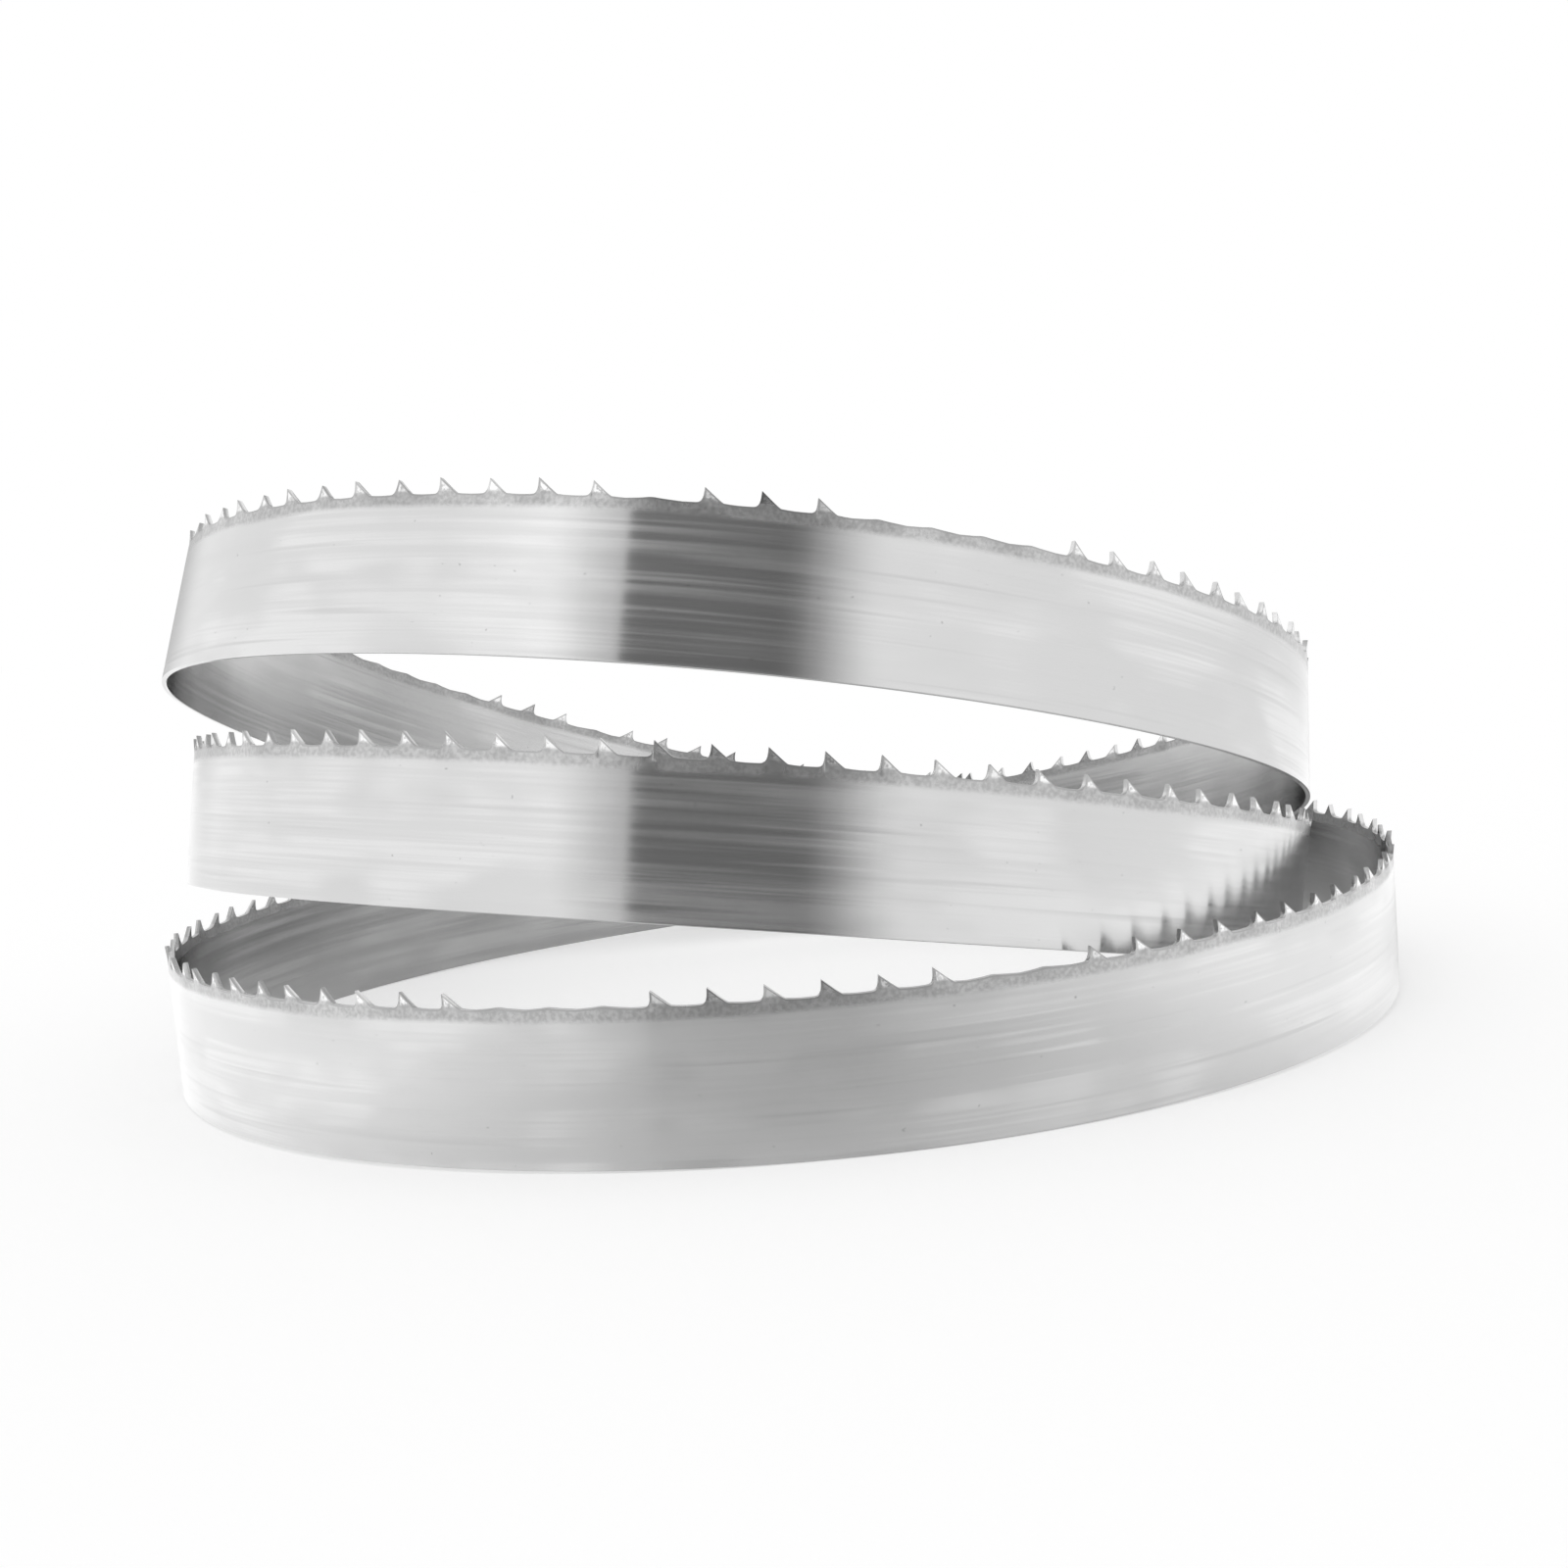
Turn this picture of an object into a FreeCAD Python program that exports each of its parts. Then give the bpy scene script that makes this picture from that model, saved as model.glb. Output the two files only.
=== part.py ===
"""An endless band saw blade, sprung into three loops and resting on its back edge.

Millimetres, +Z up. The band is one welded strip of steel with teeth along its upper edge.
"""
import FreeCAD, Part
import math
import os

# The band
WIDTH = 27.0  # from the back edge to the tips of the teeth
THICKNESS = 0.9

# The teeth
TOOTH_PITCH = 8.4
TOOTH_DEPTH = 2.5
TOOTH_SET = 0.35  # how far a tip leans out of the band, to either side in turn
TOOTH_START = 2.4  # along the band, from the left of the upper loop to the first gullet floor
STRIPPED_TEETH = (16, 20, 21, 22, 23, 97, 98, 99, 106, 107, 233, 237, 238, 239, 240, 241)

# The coil. Each row is one loop, read at eight headings from the left, by way of the front.
COIL_RADIUS = 110.0
START_HEADING = math.pi
LOOP_RADII = (  # distance from the coil's axis, in coil radii
    (0.918, 0.936, 0.995, 1.005, 1.023, 1.064, 1.032, 0.986),
    (0.991, 1.009, 1.050, 1.109, 1.155, 1.150, 1.109, 1.023),
    (0.932, 0.973, 1.027, 1.023, 0.932, 0.841, 0.832, 0.886),
)
LOOP_LIFTS = (  # height of the band's back edge over the table, in band widths
    (2.685, 2.944, 2.611, 1.833, 1.019, 0.352, 0.056, 0.000),
    (0.000, 0.019, 0.000, 0.019, 0.074, 0.185, 0.500, 0.963),
    (1.370, 1.519, 1.222, 0.556, 0.093, 0.222, 0.796, 1.796),
)

# Tooth outlines from one gullet floor to the next, in shares of the pitch and of the depth
WHOLE_TOOTH = (
    (0.0, 0.0), (0.23, 0.015), (0.31, 0.08), (0.352, 0.26), (0.372, 0.55),  # face of the tooth
    (0.38, 1.0),  # tip
    (0.69, 0.16), (0.79, 0.04), (1.0, 0.0),  # back of the tooth
)
TOOTH_STUMP = ((0.0, 0.0), (0.28, 0.07), (0.46, 0.14), (0.66, 0.08), (1.0, 0.0))


def coil_path():
    """The smooth closed line that the middle of the band follows."""
    stations = []
    for radii, lifts in zip(LOOP_RADII, LOOP_LIFTS):
        for step, (radius, lift) in enumerate(zip(radii, lifts)):
            heading = START_HEADING + 2 * math.pi * step / len(radii)
            reach = radius * COIL_RADIUS
            height = (lift + 0.5) * WIDTH
            stations.append(FreeCAD.Vector(
                reach * math.cos(heading), reach * math.sin(heading), height))
    path = Part.BSplineCurve()
    path.interpolate(stations * 3)  # the middle one of three rounds joins smoothly to itself
    knots = path.getKnots()
    path.segment(knots[len(stations)], knots[2 * len(stations)])
    return path


def band_frame(path, length, along):
    """The path's point at a distance along it, with the band's directions up and inwards."""
    start = path.FirstParameter
    knot = path.parameterAtDistance(along % length, start)
    point = path.getD0(knot)
    first, second = path.getD2(knot)[1:]
    travel = first.normalize()
    inward = (second - travel * second.dot(travel)).normalize()
    return point, travel.cross(inward), inward


def band_row(frames, height, offset):
    """A line along the band, at a height over its back edge and an offset inwards."""
    row = Part.BSplineCurve()
    row.interpolate([
        point + up * (height - WIDTH / 2) + inward * offset for point, up, inward in frames])
    return row.toShape()


def surface_between(lower, upper):
    return Part.makeRuledSurface(lower, upper)


def line_on(surface, start, end):
    """A straight line on a surface, between places in shares of its length and height."""
    first, last, low, high = surface.bounds()
    places = [
        FreeCAD.Base.Vector2d(first + along * (last - first), low + rise * (high - low))
        for along, rise in (start, end)]
    return Part.Geom2d.Line2dSegment(*places).toShape(surface)


def tooth_side(gullet_row, tip_row, outline):
    """The flank of a tooth over the gullet floor, and the edges of its outline."""
    surface = surface_between(gullet_row, tip_row).Surface
    edges = [line_on(surface, *ends) for ends in zip(outline, outline[1:])]
    root = line_on(surface, outline[0], outline[-1])
    return Part.Face(surface, Part.Wire(edges + [root])), edges


def pitch_faces(path, length, pitch, number):
    """The skin of the band over one pitch: both sides, the back edge and one tooth."""
    start = TOOTH_START + number * pitch
    frames = [band_frame(path, length, start + pitch * share) for share in (0.0, 0.5, 1.0)]
    lean = TOOTH_SET if number % 2 else -TOOTH_SET
    outline = TOOTH_STUMP if number in STRIPPED_TEETH else WHOLE_TOOTH
    faces, back_edges, rims = [], [], []
    for side in (-THICKNESS / 2, THICKNESS / 2):
        back = band_row(frames, 0.0, side)
        gullet = band_row(frames, WIDTH - TOOTH_DEPTH, side)
        tip = band_row(frames, WIDTH, side + lean)
        flank, rim = tooth_side(gullet, tip, outline)
        faces += [surface_between(back, gullet), flank]
        back_edges.append(back)
        rims.append(rim)
    faces.append(surface_between(*back_edges))
    faces += [surface_between(outer, inner) for outer, inner in zip(*rims)]
    return faces


def make_band():
    path = coil_path()
    length = path.length()
    teeth = round(length / TOOTH_PITCH)
    pitch = length / teeth
    faces = []
    for number in range(teeth):
        faces += pitch_faces(path, length, pitch, number)
    skin = Part.Compound(faces)
    skin.sewShape(0.001)
    band = Part.Solid(skin.Shells[0])
    if band.Volume < 0:
        band.reverse()
    return band


def stand_on_origin(shape):
    """The shape with the middle of its footprint over the origin and its lowest point at 0."""
    box = shape.optimalBoundingBox()
    return shape.translated(FreeCAD.Vector(-box.Center.x, -box.Center.y, -box.ZMin))


os.makedirs("parts", exist_ok=True)
stand_on_origin(make_band()).exportStep("parts/toothed_band.step")
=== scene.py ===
import math

import bpy
import numpy as np
from mathutils import Matrix, Vector


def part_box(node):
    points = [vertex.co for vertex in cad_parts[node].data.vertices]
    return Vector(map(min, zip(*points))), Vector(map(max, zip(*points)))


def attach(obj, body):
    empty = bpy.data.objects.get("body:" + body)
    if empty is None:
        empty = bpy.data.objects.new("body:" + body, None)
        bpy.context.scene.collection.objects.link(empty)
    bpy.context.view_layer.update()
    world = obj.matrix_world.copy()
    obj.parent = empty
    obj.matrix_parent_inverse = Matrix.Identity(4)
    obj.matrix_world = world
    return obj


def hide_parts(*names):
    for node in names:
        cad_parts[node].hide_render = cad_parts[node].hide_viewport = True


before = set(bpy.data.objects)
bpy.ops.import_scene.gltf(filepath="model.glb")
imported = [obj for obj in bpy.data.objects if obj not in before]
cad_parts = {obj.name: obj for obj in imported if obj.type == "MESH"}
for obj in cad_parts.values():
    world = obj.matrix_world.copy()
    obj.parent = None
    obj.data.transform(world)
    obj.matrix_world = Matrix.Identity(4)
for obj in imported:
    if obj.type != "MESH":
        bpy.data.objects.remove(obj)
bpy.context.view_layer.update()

BAND_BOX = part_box("toothed_band")

# The band, with the same sizes as its CAD source
MM = 0.001
WIDTH = 27.0 * MM
THICKNESS = 0.9 * MM
TOOTH_PITCH = 8.4 * MM
TOOTH_DEPTH = 2.5 * MM
TOOTH_SET = 0.35 * MM
TOOTH_START = 2.4 * MM
STRIPPED_TEETH = (16, 20, 21, 22, 23, 97, 98, 99, 106, 107, 233, 237, 238, 239, 240, 241)
COIL_RADIUS = 110.0 * MM
START_HEADING = math.pi
LOOP_RADII = (
    (0.918, 0.936, 0.995, 1.005, 1.023, 1.064, 1.032, 0.986),
    (0.991, 1.009, 1.050, 1.109, 1.155, 1.150, 1.109, 1.023),
    (0.932, 0.973, 1.027, 1.023, 0.932, 0.841, 0.832, 0.886),
)
LOOP_LIFTS = (
    (2.685, 2.944, 2.611, 1.833, 1.019, 0.352, 0.056, 0.000),
    (0.000, 0.019, 0.000, 0.019, 0.074, 0.185, 0.500, 0.963),
    (1.370, 1.519, 1.222, 0.556, 0.093, 0.222, 0.796, 1.796),
)

# Tooth outlines from one gullet floor to the next, in shares of the pitch and of the depth
TOOTH_TIP = (0.38, 1.0)
TOOTH_FACE = ((0.0, 0.0), (0.23, 0.015), (0.31, 0.08), (0.352, 0.26), (0.372, 0.55), TOOTH_TIP)
TOOTH_BACK = (TOOTH_TIP, (0.69, 0.16), (0.79, 0.04), (1.0, 0.0))
TOOTH_STUMP = ((0.0, 0.0), (0.28, 0.07), (0.46, 0.14), (0.66, 0.08), (1.0, 0.0))

# The finer shape of the edges
EDGE_ROUND = 0.12 * MM
GULLET_FLOOR = WIDTH - TOOTH_DEPTH
ROOT_DEPTH = 0.4 * MM  # from the gullet floor down to the rows of faces that carry the teeth
SHARP_CORNER = math.radians(40)
FACE_CORNERS = ((1, 0), (1, 1), (0, 1), (0, 0))  # rows up and columns along, for each face

# Where the finish changes, and where the teeth's painted shade lies, by height over the back
# edge and by depth under the toothed edge
HARD_STRIP = GULLET_FLOOR - 1.7 * MM  # where the duller strip along the teeth begins
STRIP_WAVE = 1.2 * MM  # how far that border wanders
PAINTED_EDGE_SHADE_DEPTH = 0.4 * MM  # width of the dark line of painted shade round the teeth
FACE_END = 0.42  # share of the pitch where the painted shade behind a tooth's face ends

# Patterns of the finish: waves to the metre along the band and up it
FINE_BRUSHING = (20, 1500)
GROOVES = (10, 480)
BROAD_STREAKS = (8, 200)
CLOUDS = (35, 70)
WEAR_AND_SHADE_PATCHES = (150, 60)
SCRATCHES = (14, 700)
MOTTLE = (1500, 1500)
SPECKS = (900, 1200)
STREAK_SHARES = (0.30, 0.45, 0.25)  # of the first three in the brushed look

# Greys of the steel, and of the painted shade and painted highlights on the teeth
BRUSHED = (0.63, 0.72)
CLOUDED = 0.61
SCRATCHED = 0.57
SPECKLED = 0.48
HARDENED = (0.44, 0.58)
TOOTH_FOOT = 0.66
# Painted shade along the teeth's edges and behind their faces
PAINTED_TOOTH_SHADE = 0.38
# Painted highlight inside the teeth
PAINTED_TOOTH_HIGHLIGHT = 0.88
# Painted highlight on the faces of the toothed edge
PAINTED_EDGE_HIGHLIGHT = 0.68

# Roughness of the steel, and how deep the brushing goes
BRUSHED_ROUGH = (0.17, 0.25)
HARDENED_ROUGH = (0.26, 0.40)
TOOTH_ROUGH = 0.20
GROOVE_DEPTH = 0.035 * MM

# The photograph's camera
CAMERA_PLACE = Vector((-0.0618, -0.4308, 0.0861))
CAMERA_HEADING = math.radians(8.45)  # to the right of straight ahead
CAMERA_DIP = math.radians(5.42)
CAMERA_ROLL = math.radians(-4.68)
CAMERA_LENS = 50.25

# The studio. A strength of 1 is white.
AMBIENT = 0.75
GLOSS_LIGHT = 1.14
SUN = 0.5
SUN_SPREAD = math.radians(60)
SUN_TURN = (math.radians(25), math.radians(-20), 0.0)
DIM_BEHIND = (0.8, 1.0, 1.0, 0.5)  # from and to, by direction, and the strength at each
DIM_OVERHEAD = (0.55, 0.85, 1.0, 0.4)
FLOOR_REACH = 6.0
FLOOR_GREY = 0.7
FLOOR_GLOW = 0.38  # added for the camera alone, so that the background is white
SHADE_GREY = 0.3  # of the floor behind the coil, in the gloss
BEFORE_COIL = (-0.02, -0.23, 0.0)
INSIDE_COIL = (0.03, 0.09, 0.0)
BEHIND_COIL = (0.04, 0.14, 0.0)
PANEL_BOX = (-0.30, 0.25, -0.09, 0.36)  # left, right, low and high of the camera
PANEL_EDGE = (-0.162, -0.158)  # across the panel, from clear to covered
PANEL_HAZE = (-0.30, -0.15, 0.0, 0.5)  # from and to, and the cover at each
PANEL_FADE = (0.045, 0.215, 1.0, 0.0)
PANEL_TOP = (0.20, 0.34, 1.0, 0.0)
PANEL_GREY = 0.14


def coil_stations():
    """Points on the middle line of the band, one for each reading of the coil."""
    points = []
    for radii, lifts in zip(LOOP_RADII, LOOP_LIFTS):
        for step, (radius, lift) in enumerate(zip(radii, lifts)):
            heading = START_HEADING + 2 * math.pi * step / len(radii)
            reach = radius * COIL_RADIUS
            height = (lift + 0.5) * WIDTH
            points.append((reach * math.cos(heading), reach * math.sin(heading), height))
    return np.array(points)


def smooth_closed_line(points, samples):
    """A closed cubic spline through points: places along it, with two derivatives."""
    count = len(points)
    next_points = np.roll(points, -1, axis=0)
    spans = np.linalg.norm(next_points - points, axis=1)
    before = np.roll(spans, 1)
    rows = np.arange(count)
    system = np.zeros((count, count))
    system[rows, rows] = 2 * (before + spans)
    system[rows, (rows - 1) % count] = before
    system[rows, (rows + 1) % count] = spans
    ahead = (next_points - points) / spans[:, None]
    bends = np.linalg.solve(system, 6 * (ahead - np.roll(ahead, 1, axis=0)))
    next_bends = np.roll(bends, -1, axis=0)

    share = np.arange(samples) / samples * count
    span = share.astype(int)
    reach = spans[span][:, None]
    right = (share - span)[:, None]
    left = 1 - right
    curl = (left ** 3 - left) * bends[span] + (right ** 3 - right) * next_bends[span]
    place = left * points[span] + right * next_points[span] + curl * reach ** 2 / 6
    lean = (1 - 3 * left ** 2) * bends[span] + (3 * right ** 2 - 1) * next_bends[span]
    slope = (next_points[span] - points[span]) / reach + lean * reach / 6
    bend = left * bends[span] + right * next_bends[span]
    return place, slope, bend


def unit(vectors):
    return vectors / np.linalg.norm(vectors, axis=1)[:, None]


class Coil:
    """The band's middle line, read by the distance along it."""

    SAMPLES = 24000

    def __init__(self):
        place, slope, bend = smooth_closed_line(coil_stations(), self.SAMPLES)
        travel = unit(slope)
        inward = unit(bend - travel * np.sum(bend * travel, axis=1)[:, None])
        steps = np.linalg.norm(np.roll(place, -1, axis=0) - place, axis=1)
        self.distance = np.concatenate([[0], np.cumsum(steps)])
        self.length = self.distance[-1]
        columns = np.concatenate([place, np.cross(travel, inward), inward], axis=1)
        self.columns = np.vstack([columns, columns[:1]])

    def read(self, along):
        """Places, upward and inward directions at distances along the band."""
        along = np.mod(along, self.length)
        found = np.stack(
            [np.interp(along, self.distance, column) for column in self.columns.T], axis=1)
        return found[:, :3], unit(found[:, 3:6]), unit(found[:, 6:9])


def rounded(outline, steps):
    """A smooth line through the points of an outline, without its last point."""
    points = np.array(outline)
    slopes = np.gradient(points, axis=0)
    share = np.arange(steps)[:, None] / steps
    line = []
    for start, end, leave, arrive in zip(points, points[1:], slopes, slopes[1:]):
        line.append(
            (2 * share ** 3 - 3 * share ** 2 + 1) * start
            + (share ** 3 - 2 * share ** 2 + share) * leave
            + (3 * share ** 2 - 2 * share ** 3) * end
            + (share ** 3 - share ** 2) * arrive)
    return np.concatenate(line)


def toothed_edge(length):
    """Columns along the band: distance, share of the pitch, height of the edge and lean."""
    whole = np.concatenate([rounded(TOOTH_FACE, 2), rounded(TOOTH_BACK, 3)])
    stump = rounded(TOOTH_STUMP, 3)
    teeth = round(length / TOOTH_PITCH)
    pitch = length / teeth
    columns = []
    for number in range(teeth):
        side = 1 if number % 2 else -1
        for share, rise in stump if number in STRIPPED_TEETH else whole:
            columns.append((
                TOOTH_START + (number + share) * pitch, share,
                GULLET_FLOOR + rise * TOOTH_DEPTH, side * TOOTH_SET))
    return np.array(columns).T


def section_ring(crest):
    """The band's section at each column: rows of heights, and their offsets inwards."""
    half = THICKNESS / 2
    root = np.full_like(crest, GULLET_FLOOR - ROOT_DEPTH)
    back = np.zeros_like(crest)
    side = [
        (back, half - EDGE_ROUND),
        (back + EDGE_ROUND, half),
        (root - ROOT_DEPTH, half),
        (root, half),
        ((root + crest) / 2, half),
        (crest - EDGE_ROUND / 2, half),
        (crest, half - EDGE_ROUND / 2),
    ]
    ring = [(height, -offset) for height, offset in side] + side[::-1]
    heights = np.array([height for height, offset in ring])
    offsets = np.array([offset for height, offset in ring])
    return heights, offsets


def add_map(mesh, name, across, upward):
    """A map of the band's faces; both readings have one column more than the mesh."""
    rows, columns = upward.shape
    row, column = np.mgrid[0:rows, 0:columns - 1]
    readings = [
        (across[column + along], upward[(row + up) % rows, column + along])
        for up, along in FACE_CORNERS]
    values = np.stack([np.stack(reading, axis=-1) for reading in readings], axis=2)
    mesh.uv_layers.new(name=name).data.foreach_set("uv", values.ravel())


def band_mesh(coil):
    along, share, crest, lean = toothed_edge(coil.length)
    place, up, inward = coil.read(along)
    heights, offsets = section_ring(crest)
    tilt = np.clip((heights - GULLET_FLOOR) / TOOTH_DEPTH, 0, 1) * lean
    points = (place + up * (heights - WIDTH / 2)[..., None]
              + inward * (offsets[:, None] + tilt)[..., None])

    rows, columns = heights.shape
    row, column = np.mgrid[0:rows, 0:columns]
    faces = np.stack([
        (row + up) % rows * columns + (column + along) % columns
        for up, along in FACE_CORNERS], axis=-1)
    mesh = bpy.data.meshes.new("band")
    mesh.from_pydata(points.reshape(-1, 3).tolist(), [], faces.reshape(-1, 4).tolist())

    closed = np.append(heights, heights[:, :1], axis=1)
    add_map(mesh, "along_and_up", np.append(along, along[0] + coil.length), closed)
    depths = crest - heights
    add_map(
        mesh, "share_and_depth", np.append(share, 1.0), np.append(depths, depths[:, :1], axis=1))
    return mesh


def set_down(mesh):
    """Move the band's mesh so that its box stands where the CAD band's box does."""
    low, high = [np.array(corner) for corner in BAND_BOX]
    seat = (low + high) / 2
    seat[2] = low[2]
    places = np.array([vertex.co for vertex in mesh.vertices])
    middle = (places.min(axis=0) + places.max(axis=0)) / 2
    middle[2] = places[:, 2].min()
    mesh.transform(Matrix.Translation(Vector(seat - middle)))


def add_band():
    coil = Coil()
    mesh = band_mesh(coil)
    set_down(mesh)
    mesh.shade_smooth()
    mesh.set_sharp_from_angle(angle=SHARP_CORNER)
    mesh.materials.append(blade_steel(coil.length))
    band = bpy.data.objects.new("band", mesh)
    bpy.context.scene.collection.objects.link(band)
    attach(band, "root")
    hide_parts("toothed_band")


class Nodes:
    """A short way to write a node tree."""

    def __init__(self, owner):
        owner.use_nodes = True
        self.tree = owner.node_tree
        self.tree.nodes.clear()

    def add(self, kind, inputs=None, **settings):
        node = self.tree.nodes.new(kind)
        for name, value in settings.items():
            setattr(node, name, value)
        for name, value in (inputs or {}).items():
            if isinstance(value, bpy.types.NodeSocket):
                self.tree.links.new(value, node.inputs[name])
            else:
                node.inputs[name].default_value = value
        return node

    def math(self, operation, *values):
        return self.add(
            "ShaderNodeMath", dict(enumerate(values)), operation=operation).outputs[0]

    def product(self, *values):
        result = values[0]
        for value in values[1:]:
            result = self.math("MULTIPLY", result, value)
        return result

    def ramp(self, value, low, high, start=0.0, end=1.0):
        """A smooth step of a value from start at low to end at high."""
        return self.add("ShaderNodeMapRange", {
            "Value": value, "From Min": low, "From Max": high, "To Min": start, "To Max": end,
        }, interpolation_type="SMOOTHSTEP").outputs["Result"]

    def noise(self, ring, along, up, detail=2.0):
        """Noise with so many waves to the metre along the band and up it."""
        stretched = self.add(
            "ShaderNodeVectorMath", {0: ring, 1: (along, along, up)}, operation="MULTIPLY")
        return self.add("ShaderNodeTexNoise", {
            "Vector": stretched.outputs[0], "Scale": 1.0, "Detail": detail,
        }).outputs["Fac"]

    def distance(self, place, centre):
        return self.add("ShaderNodeVectorMath", {
            0: place, 1: centre}, operation="DISTANCE").outputs["Value"]

    def parts(self, vector):
        return self.add("ShaderNodeSeparateXYZ", {0: vector}).outputs

    def map(self, name):
        return self.add("ShaderNodeUVMap", uv_map=name).outputs[0]

    def mix(self, share, first, second):
        """A mix of two greys, by way of the colour inputs 6 and 7 and the colour output 2."""
        return self.add("ShaderNodeMix", {
            0: share, 6: grey(first), 7: grey(second)}, data_type="RGBA").outputs[2]

    def surface(self, shader):
        self.add("ShaderNodeOutputMaterial", {"Surface": shader.outputs[0]})


def grey(level):
    """A grey colour of a level; a socket is left as it is."""
    return level if isinstance(level, bpy.types.NodeSocket) else (level, level, level, 1.0)


def ring_place(n, along, up, length):
    """A place on the band as on a round ring of its length, so that no pattern has a seam."""
    turn = n.math("MULTIPLY", along, 2 * math.pi / length)
    radius = length / (2 * math.pi)
    return n.add("ShaderNodeCombineXYZ", {
        0: n.product(n.math("COSINE", turn), radius),
        1: n.product(n.math("SINE", turn), radius), 2: up}).outputs[0]


def tooth_marks(n, up, cloud, wear_and_shade_patches):
    """Shares of the dull strip, the edge's painted highlight, the teeth, their dark lines of
    painted shade and their insides' painted highlight.
    """
    wavy = n.math("MULTIPLY_ADD", n.math("SUBTRACT", cloud, 0.5), STRIP_WAVE, up)
    strip = n.ramp(wavy, HARD_STRIP - 0.7 * MM, HARD_STRIP + 0.5 * MM)
    tooth = n.ramp(up, GULLET_FLOOR + 0.3 * MM, GULLET_FLOOR + 0.9 * MM)
    share, depth = n.parts(n.map("share_and_depth"))[:2]
    # Painted highlight on the faces of the toothed edge itself
    painted_edge_highlight = n.ramp(depth, 0.02 * MM, 0.07 * MM, 1.0, 0.0)
    # Painted shade in a dark line along the toothed edge
    painted_edge_shade = n.ramp(depth, 0.4 * PAINTED_EDGE_SHADE_DEPTH, PAINTED_EDGE_SHADE_DEPTH, 0.8, 0.0)
    # Painted shade behind each tooth's face, on some teeth only
    behind_face = n.ramp(share, FACE_END - 0.02, FACE_END + 0.01, 1.0, 0.0)
    painted_face_shade = n.product(tooth, behind_face, n.ramp(wear_and_shade_patches, 0.42, 0.58))
    line = n.math("MAXIMUM", painted_edge_shade, painted_face_shade)
    # Painted highlight inside each tooth
    inside = n.product(
        tooth, n.math("SUBTRACT", 1.0, behind_face),
        n.ramp(depth, 0.5 * PAINTED_EDGE_SHADE_DEPTH, PAINTED_EDGE_SHADE_DEPTH))
    return strip, painted_edge_highlight, tooth, line, inside


def blade_steel(length):
    """Steel brushed along its length, with a duller hardened strip along the teeth."""
    material = bpy.data.materials.new("blade_steel")
    n = Nodes(material)
    along, up = n.parts(n.map("along_and_up"))[:2]
    place = ring_place(n, along, up, length)

    fine = n.noise(place, *FINE_BRUSHING)
    groove = n.noise(place, *GROOVES)
    broad = n.noise(place, *BROAD_STREAKS)
    cloud = n.noise(place, *CLOUDS)
    wear_and_shade_patches = n.noise(place, *WEAR_AND_SHADE_PATCHES, detail=1.0)
    scratch = n.noise(place, *SCRATCHES, detail=1.0)
    mottle = n.noise(place, *MOTTLE, detail=3.0)
    speck = n.noise(place, *SPECKS, detail=1.0)
    fine_share, groove_share, broad_share = STREAK_SHARES
    streak = n.math("ADD", n.product(fine, fine_share), n.product(groove, groove_share))
    streak = n.math("MULTIPLY_ADD", broad, broad_share, streak)
    strip, painted_edge_highlight, tooth, line, inside = tooth_marks(n, up, cloud, wear_and_shade_patches)

    plain = n.mix(n.ramp(streak, 0.42, 0.58), *BRUSHED)
    plain = n.mix(n.ramp(cloud, 0.38, 0.62), plain, CLOUDED)
    plain = n.mix(n.ramp(scratch, 0.60, 0.78), plain, SCRATCHED)
    plain = n.mix(n.ramp(speck, 0.76, 0.82), plain, SPECKLED)
    dull = n.mix(n.ramp(mottle, 0.3, 0.7), *HARDENED)
    colour = n.mix(strip, plain, dull)
    colour = n.mix(n.product(tooth, n.ramp(cloud, 0.35, 0.6)), colour, TOOTH_FOOT)
    # Painted shade along the teeth's edges and behind their faces
    colour = n.mix(n.product(line, n.ramp(mottle, 0.35, 0.6, 0.4, 1.0)), colour, PAINTED_TOOTH_SHADE)
    # Painted highlight inside the teeth
    colour = n.mix(n.product(inside, n.ramp(mottle, 0.35, 0.55)), colour, PAINTED_TOOTH_HIGHLIGHT)
    # Painted highlight on the faces of the toothed edge
    colour = n.mix(painted_edge_highlight, colour, PAINTED_EDGE_HIGHLIGHT)

    rough = n.ramp(streak, 0.42, 0.62, *BRUSHED_ROUGH)
    rough = n.mix(strip, rough, n.ramp(wear_and_shade_patches, 0.3, 0.7, *HARDENED_ROUGH))
    rough = n.mix(tooth, rough, TOOTH_ROUGH)
    relief = n.math("MULTIPLY_ADD", n.product(mottle, strip), 0.4, streak)
    bump = n.add("ShaderNodeBump", {
        "Strength": 1.0, "Distance": GROOVE_DEPTH, "Height": relief})
    tangent = n.add("ShaderNodeTangent", direction_type="UV_MAP", uv_map="along_and_up")
    n.surface(n.add("ShaderNodeBsdfPrincipled", {
        "Base Color": colour, "Metallic": 1.0, "Roughness": rough, "Anisotropic": 1.0,
        "Anisotropic Rotation": 0.25, "Normal": bump.outputs[0],
        "Tangent": tangent.outputs[0]}))
    return material


def add_stage_piece(name, left, right, low, high, place):
    """A flat rectangle of the studio, and the nodes of its material."""
    mesh = bpy.data.meshes.new(name)
    mesh.from_pydata(
        [(left, low, 0), (right, low, 0), (right, high, 0), (left, high, 0)], [], [(0, 1, 2, 3)])
    piece = bpy.data.objects.new(name, mesh)
    piece.matrix_world = place
    bpy.context.scene.collection.objects.link(piece)
    material = bpy.data.materials.new(name)
    mesh.materials.append(material)
    return piece, Nodes(material)


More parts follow.
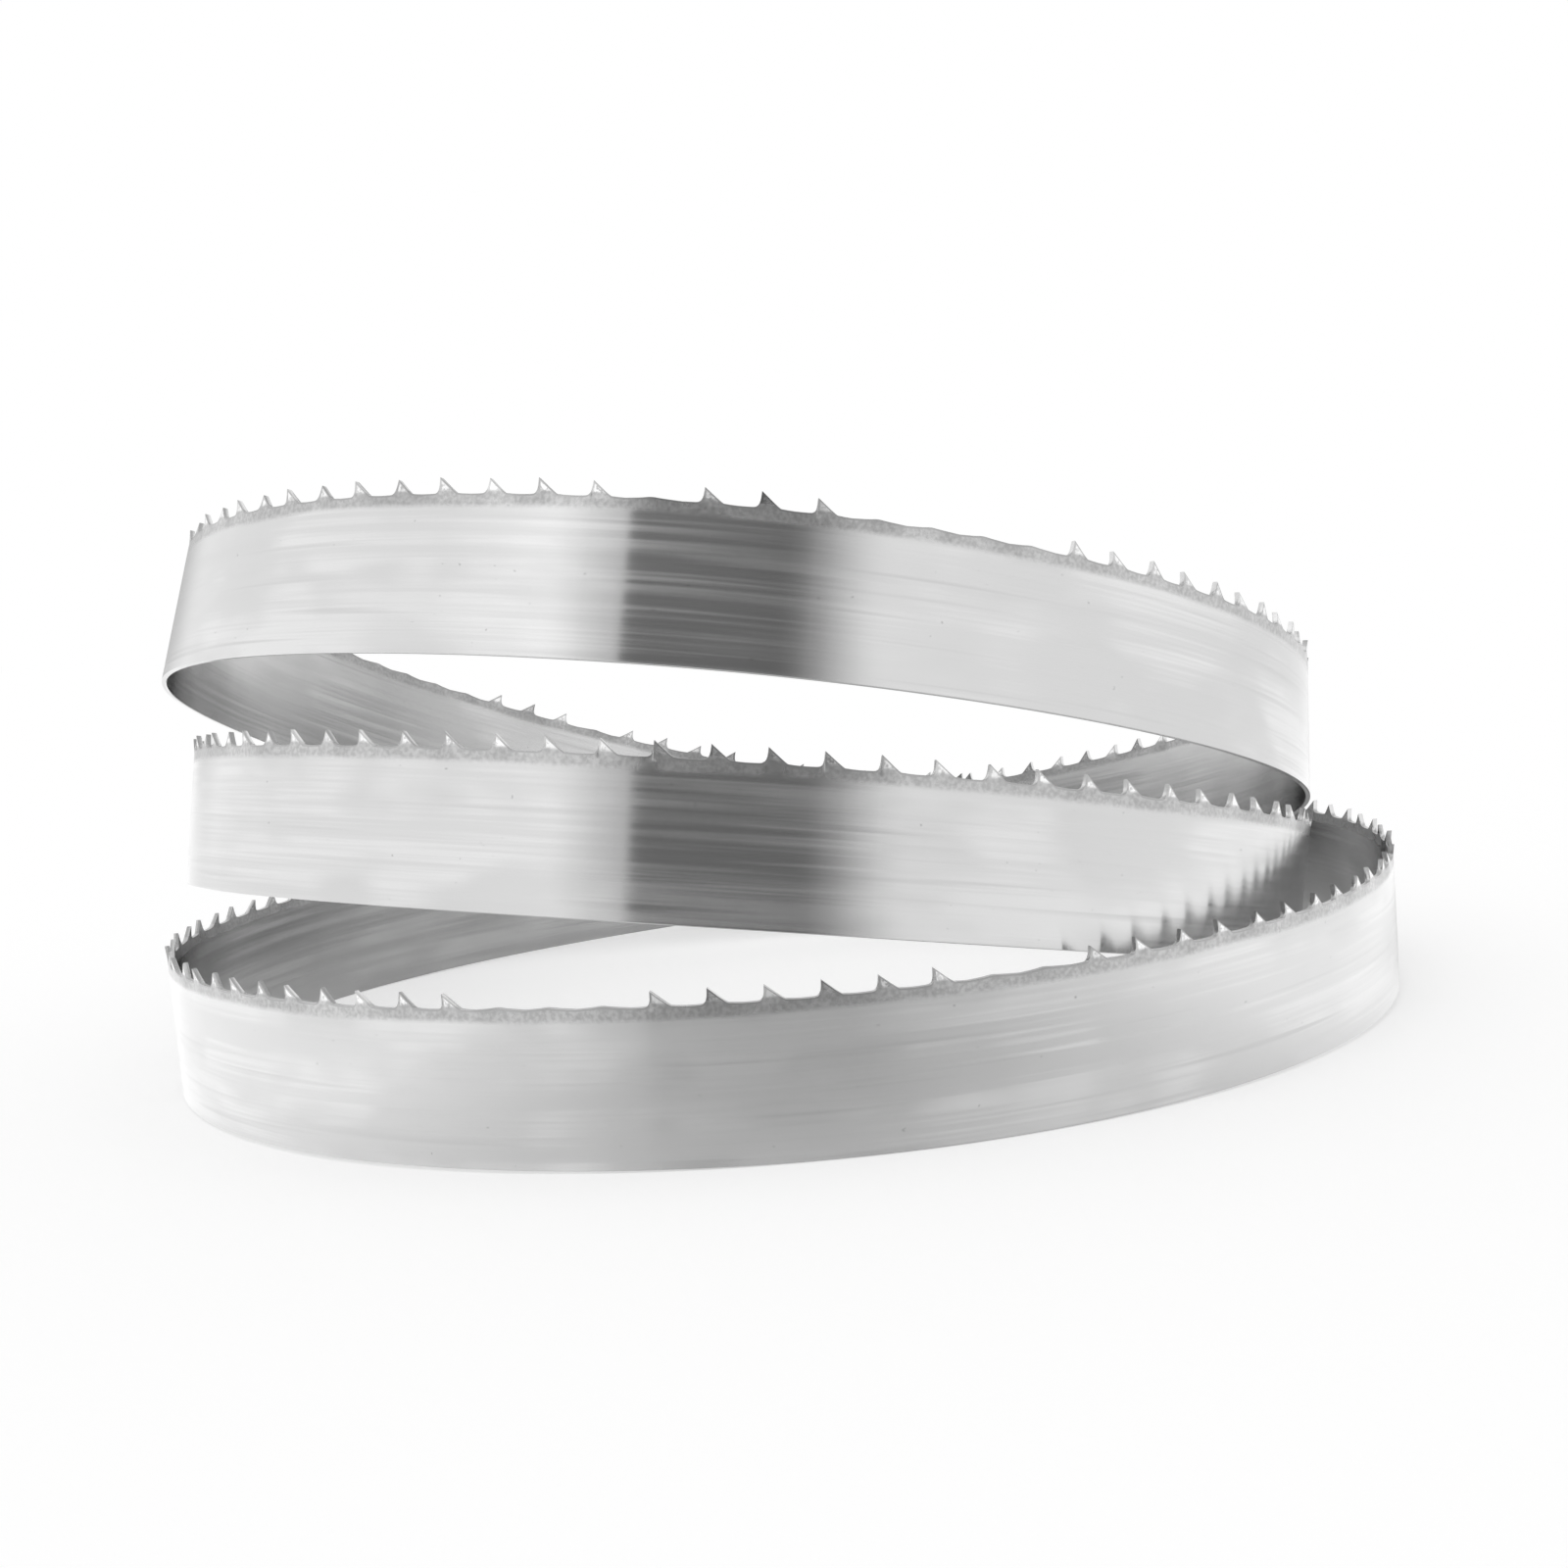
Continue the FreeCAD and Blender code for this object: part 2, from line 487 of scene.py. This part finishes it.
def add_world():
    """An even white room, dimmer overhead and straight behind the coil in the gloss."""
    world = bpy.data.worlds.new("studio")
    bpy.context.scene.world = world
    n = Nodes(world)
    path = n.add("ShaderNodeLightPath").outputs
    towards = n.parts(n.add("ShaderNodeTexCoord").outputs["Generated"])
    plain = n.math("MULTIPLY_ADD", path["Is Camera Ray"], 1.0 - AMBIENT, AMBIENT)
    gloss = n.product(
        n.ramp(towards[1], *DIM_BEHIND), n.ramp(towards[2], *DIM_OVERHEAD), GLOSS_LIGHT)
    no_gloss = n.math("SUBTRACT", 1.0, path["Is Glossy Ray"])
    strength = n.math(
        "ADD", n.product(plain, no_gloss), n.product(gloss, path["Is Glossy Ray"]))
    light = n.add("ShaderNodeBackground", {"Color": grey(1.0), "Strength": strength})
    n.add("ShaderNodeOutputWorld", {"Surface": light.outputs[0]})


def add_floor():
    """A pale table. In the gloss it is dim in front of the coil, inside it and behind it."""
    n = add_stage_piece(
        "floor", -FLOOR_REACH, FLOOR_REACH, -FLOOR_REACH, FLOOR_REACH, Matrix.Identity(4))[1]
    path = n.add("ShaderNodeLightPath").outputs
    place = n.add("ShaderNodeTexCoord").outputs["Object"]
    before_coil = n.ramp(n.distance(place, BEFORE_COIL), 0.05, 0.22)
    inside_coil = n.ramp(n.distance(place, INSIDE_COIL), 0.11, 0.18)
    far_off = n.ramp(n.distance(place, (0.0, 0.0, 0.0)), 0.22, 0.50, 0.66, 0.42)
    in_gloss = n.product(far_off, before_coil, inside_coil, path["Is Glossy Ray"])
    glow = n.math("MULTIPLY_ADD", path["Is Camera Ray"], FLOOR_GLOW, in_gloss)
    behind_coil = n.ramp(n.distance(place, BEHIND_COIL), 0.05, 0.12, 0.6, 0.0)
    shade = n.product(behind_coil, path["Is Glossy Ray"])
    matt = n.add("ShaderNodeBsdfDiffuse", {"Color": n.mix(shade, FLOOR_GREY, SHADE_GREY)})
    extra = n.add("ShaderNodeEmission", {"Color": grey(1.0), "Strength": glow})
    n.surface(n.add("ShaderNodeAddShader", {0: matt.outputs[0], 1: extra.outputs[0]}))


def camera_matrix():
    return (Matrix.Translation(CAMERA_PLACE)
            @ Matrix.Rotation(-CAMERA_HEADING, 4, "Z")
            @ Matrix.Rotation(math.pi / 2 - CAMERA_DIP, 4, "X")
            @ Matrix.Rotation(CAMERA_ROLL, 4, "Z"))


def add_dark_panel():
    """The dark side of the room round the camera, which only the steel reflects."""
    panel, n = add_stage_piece("dark_panel", *PANEL_BOX, camera_matrix())
    panel.visible_camera = False
    panel.visible_shadow = False
    panel.visible_diffuse = False
    across, up = n.parts(n.add("ShaderNodeTexCoord").outputs["Object"])[:2]
    left_side = n.math("MAXIMUM", n.ramp(across, *PANEL_EDGE), n.ramp(across, *PANEL_HAZE))
    cover = n.product(left_side, n.ramp(across, *PANEL_FADE), n.ramp(up, *PANEL_TOP))
    clear = n.add("ShaderNodeBsdfTransparent")
    dark = n.add("ShaderNodeEmission", {"Color": grey(PANEL_GREY), "Strength": 1.0})
    n.surface(n.add(
        "ShaderNodeMixShader", {0: cover, 1: clear.outputs[0], 2: dark.outputs[0]}))


def add_sun():
    data = bpy.data.lights.new("sun", "SUN")
    data.energy = SUN
    data.angle = SUN_SPREAD
    sun = bpy.data.objects.new("sun", data)
    sun.rotation_euler = SUN_TURN
    bpy.context.scene.collection.objects.link(sun)


def add_camera():
    data = bpy.data.cameras.new("camera")
    data.lens = CAMERA_LENS
    data.sensor_width = 36.0
    data.clip_start = 0.01
    camera = bpy.data.objects.new("camera", data)
    camera.matrix_world = camera_matrix()
    bpy.context.scene.collection.objects.link(camera)
    bpy.context.scene.camera = camera


add_camera()
add_band()
add_world()
add_floor()
add_dark_panel()
add_sun()
bpy.context.scene.view_settings.view_transform = "Standard"
